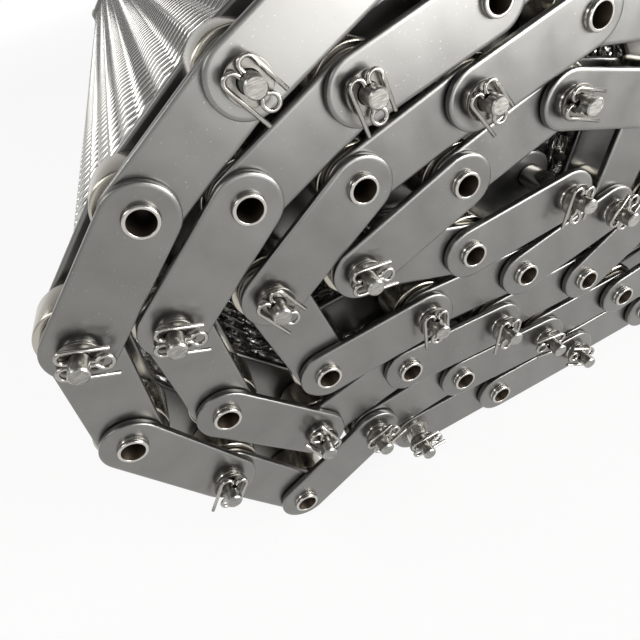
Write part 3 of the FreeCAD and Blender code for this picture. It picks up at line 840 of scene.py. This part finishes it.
class BELT_OT_mesh_panels(bpy.types.Operator):
    """Flattened wire spirals of every link, alternately right and left hand"""
    bl_idname = "belt.mesh_panels"
    bl_label = "Mesh panels"

    def execute(self, context):
        sizes = context.scene.belt_sizes
        material = finish_of(drawn_stainless_wire)
        rods = [ROD_DIA] + [sizes.mesh_rod] * sizes.spirals
        panels = {}
        for odd, held in enumerate((rods, rods[::-1])):
            panels["outer", odd] = self.panel(sizes, f"fine_panel_{odd}", held, *FINE_STEPS)
            panels["inner", odd] = self.panel(sizes, f"plain_panel_{odd}", held, *PLAIN_STEPS)
        for mesh in panels.values():
            mesh.materials.append(material)
        for link in LINKS:
            lap = "outer" if link < OUTER_LAP else "inner"
            panel = bpy.data.objects.new(f"mesh_panel_{link:02d}", panels[lap, link % 2])
            bpy.context.scene.collection.objects.link(panel)
            place = JOINTS[link]
            panel.matrix_world = (Matrix.Translation((place.real, 0, place.imag))
                                  @ Matrix.Rotation(-heading(link), 4, "Y"))
            body = body_of(link)
            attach(panel, body)
            single = body == f"link_{link}"
            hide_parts(f"{body}_mesh_panel" if single else f"{body}_spirals")
        return {"FINISHED"}

    def panel(self, sizes, name, rods, *steps):
        """The spirals of one link as one mesh."""
        forms = [spiral(sizes, number, rods, *steps) for number in range(sizes.spirals)]
        starts = np.cumsum([0] + [len(points) for points, _ in forms])
        points = np.concatenate([points for points, _ in forms])
        faces = [rows + start for (_, lists), start in zip(forms, starts) for rows in lists]
        return make_mesh(name, (points, faces))


class BELT_OT_mesh_rods(bpy.types.Operator):
    """Thin rods that join the spirals, three in every link and one at every open joint"""
    bl_idname = "belt.mesh_rods"
    bl_label = "Mesh rods"

    def execute(self, context):
        sizes = context.scene.belt_sizes
        broken_edge = 0.3 * MM
        form = round_bar(sizes.mesh_rod, MESH_WIDTH, broken_edge)
        spots = []
        for link in LINKS:
            along = cmath.exp(1j * heading(link)) * PITCH / sizes.spirals
            held = range(0 if link % 2 else 1, sizes.spirals)
            spots += [(body_of(link), (JOINTS[link] + along * number, 0.0, 0.0)) for number in held]
        for body, places in by_body(spots).items():
            single = body.startswith("link_")
            node = f"{body}_mesh_panel" if single else f"{body}_mesh_rods"
            show_copies(f"{body}_mesh_rods_finished", form, places, finish_of(drawn_stainless_bar), body,
                        [node])
        return {"FINISHED"}


class BELT_OT_stage(bpy.types.Operator):
    """Pale studio floor, soft light and the camera"""
    bl_idname = "belt.stage"
    bl_label = "Stage"

    def execute(self, context):
        stage = context.scene.belt_stage
        self.floor(context.scene.belt_colours)
        self.sky()
        # Place, target and size in metres, power in watts
        self.lamp("front_box", (1.3, -1.15, 0.45), (0.0, 0.0, 0.2), (1.7, 0.8), 56)
        self.lamp("floor_panel", (0.62, -0.82, 0.02), (0.62, -0.72, 1.0), (1.24, 1.4), 22)
        self.lamp("left_strip", (-1.06, 0.2, 0.95), (-0.15, 0.45, 0.2), (2.6, 0.3), 8)
        self.lamp("top_box", (0.2, 0.65, 1.9), (0, 0.35, 0.1), (1.4, 1.4), 4)
        self.camera(stage)
        context.scene.view_settings.view_transform = "Standard"
        return {"FINISHED"}

    def floor(self, colours):
        """A floor that reads as white in the picture and in the metal, and keeps the shadow near the belt."""
        mesh = bpy.data.meshes.new("studio_floor")
        reach, near, far, least_glow = 40.0, 1.0, 4.0, 0.88
        corners = [(-reach, -reach, 0), (reach, -reach, 0), (reach, reach, 0), (-reach, reach, 0)]
        mesh.from_pydata(corners, [], [(0, 1, 2, 3)])
        ground = bpy.data.objects.new("studio_floor", mesh)
        bpy.context.scene.collection.objects.link(ground)
        material = bpy.data.materials.new("studio_paper")
        material.use_nodes = True
        tree = material.node_tree
        tree.nodes.clear()
        paper = add_node(tree, "ShaderNodeBsdfDiffuse", {"Color": (*colours.floor, 1)})
        glow = add_node(tree, "ShaderNodeEmission", {"Color": (1, 1, 1, 1), "Strength": 1.0})
        ray = add_node(tree, "ShaderNodeLightPath")
        seen = add_node(tree, "ShaderNodeMath", {0: ray.outputs["Is Camera Ray"],
                                                 1: ray.outputs["Is Glossy Ray"]},
                        operation="MAXIMUM").outputs[0]
        through = add_node(tree, "ShaderNodeMath", {0: seen, 1: ray.outputs["Is Transmission Ray"]},
                           operation="MAXIMUM").outputs[0]
        spot = add_node(tree, "ShaderNodeTexCoord").outputs["Object"]
        away = add_node(tree, "ShaderNodeVectorMath", {0: spot}, operation="LENGTH").outputs["Value"]
        white = add_node(tree, "ShaderNodeMapRange", {"Value": away, "From Min": near, "From Max": far,
                                                      "To Min": least_glow}).outputs["Result"]
        share = add_node(tree, "ShaderNodeMath", {0: through, 1: white}, operation="MULTIPLY").outputs[0]
        mix = add_node(tree, "ShaderNodeMixShader", {0: share, 1: paper.outputs["BSDF"],
                                                     2: glow.outputs["Emission"]})
        out = add_node(tree, "ShaderNodeOutputMaterial", {"Surface": mix.outputs["Shader"]})
        out.is_active_output = True
        mesh.materials.append(material)

    def sky(self):
        """White where the camera looks, pale at the horizon and grey overhead for the metal."""
        horizon, overhead, top = 0.85, 0.18, 0.7
        world = bpy.data.worlds.new("studio_air")
        bpy.context.scene.world = world
        world.use_nodes = True
        tree = world.node_tree
        tree.nodes.clear()
        height = add_node(tree, "ShaderNodeSeparateXYZ",
                          {"Vector": add_node(tree, "ShaderNodeTexCoord").outputs["Generated"]}).outputs["Z"]
        fade = add_node(tree, "ShaderNodeMapRange", {"Value": height, "From Max": top, "To Min": horizon,
                                                     "To Max": overhead}).outputs["Result"]
        air = add_node(tree, "ShaderNodeBackground", {"Color": (1, 1, 1, 1), "Strength": fade})
        white = add_node(tree, "ShaderNodeBackground", {"Color": (1, 1, 1, 1), "Strength": 1.0})
        ray = add_node(tree, "ShaderNodeLightPath")
        mix = add_node(tree, "ShaderNodeMixShader", {0: ray.outputs["Is Camera Ray"],
                                                     1: air.outputs["Background"],
                                                     2: white.outputs["Background"]})
        add_node(tree, "ShaderNodeOutputWorld", {"Surface": mix.outputs["Shader"]})

    def lamp(self, name, place, target, size, power):
        """A soft box that shines from one point at another, both measured from the rod ends in front."""
        front = Vector((0, CAD_BOX[0].y, 0))
        light = bpy.data.lights.new(name, "AREA")
        light.shape = "RECTANGLE"
        light.size, light.size_y = size
        light.energy = power
        lamp = bpy.data.objects.new(name, light)
        bpy.context.scene.collection.objects.link(lamp)
        lamp.location = front + Vector(place)
        lamp.rotation_euler = (Vector(target) - Vector(place)).to_track_quat("-Z", "Y").to_euler()

    def camera(self, stage):
        """The camera where the reference view was taken from."""
        data = bpy.data.cameras.new("photo_camera")
        data.lens = stage.lens
        data.shift_y = stage.camera_drop
        data.clip_start = 0.01
        camera = bpy.data.objects.new("photo_camera", data)
        bpy.context.scene.collection.objects.link(camera)
        front = CAD_BOX[0].y - stage.camera_front
        place = Vector((JOINTS[0].real - stage.camera_back, front, stage.camera_height))
        turn = (Matrix.Rotation(-stage.camera_heading, 4, "Z")
                @ Matrix.Rotation(TAU / 4 - stage.camera_tilt, 4, "X")
                @ Matrix.Rotation(-stage.camera_roll, 4, "Z"))
        camera.matrix_world = Matrix.Translation(place) @ turn
        bpy.context.scene.camera = camera


class BELT_PT_panel(bpy.types.Panel):
    """Lists the steps that build the belt"""
    bl_idname = "BELT_PT_panel"
    bl_label = "Mesh belt"
    bl_space_type = "VIEW_3D"
    bl_region_type = "UI"
    bl_category = "Mesh Belt"

    def draw(self, context):
        for step in STEPS:
            self.layout.operator(step.bl_idname)
        for group in (context.scene.belt_sizes, context.scene.belt_colours, context.scene.belt_stage):
            for name in group.__annotations__:
                self.layout.prop(group, name)


STEPS = (
    BELT_OT_stage,
    BELT_OT_chain_plates,
    BELT_OT_rollers,
    BELT_OT_hollow_pins,
    BELT_OT_bars,
    BELT_OT_washers,
    BELT_OT_split_pins,
    BELT_OT_mesh_panels,
    BELT_OT_mesh_rods,
)
GROUPS = {"belt_sizes": BeltSizes, "belt_colours": BeltColours, "belt_stage": BeltStage}


def register():
    for group in GROUPS.values():
        bpy.utils.register_class(group)
    for step in STEPS:
        bpy.utils.register_class(step)
    bpy.utils.register_class(BELT_PT_panel)
    for name, group in GROUPS.items():
        setattr(bpy.types.Scene, name, PointerProperty(type=group))


def unregister():
    for name in GROUPS:
        delattr(bpy.types.Scene, name)
    bpy.utils.unregister_class(BELT_PT_panel)
    for step in reversed(STEPS):
        bpy.utils.unregister_class(step)
    for group in GROUPS.values():
        bpy.utils.unregister_class(group)


def main():
    register()
    for step in STEPS:
        family, name = step.bl_idname.split(".")
        getattr(getattr(bpy.ops, family), name)()


if __name__ == "__main__":
    main()
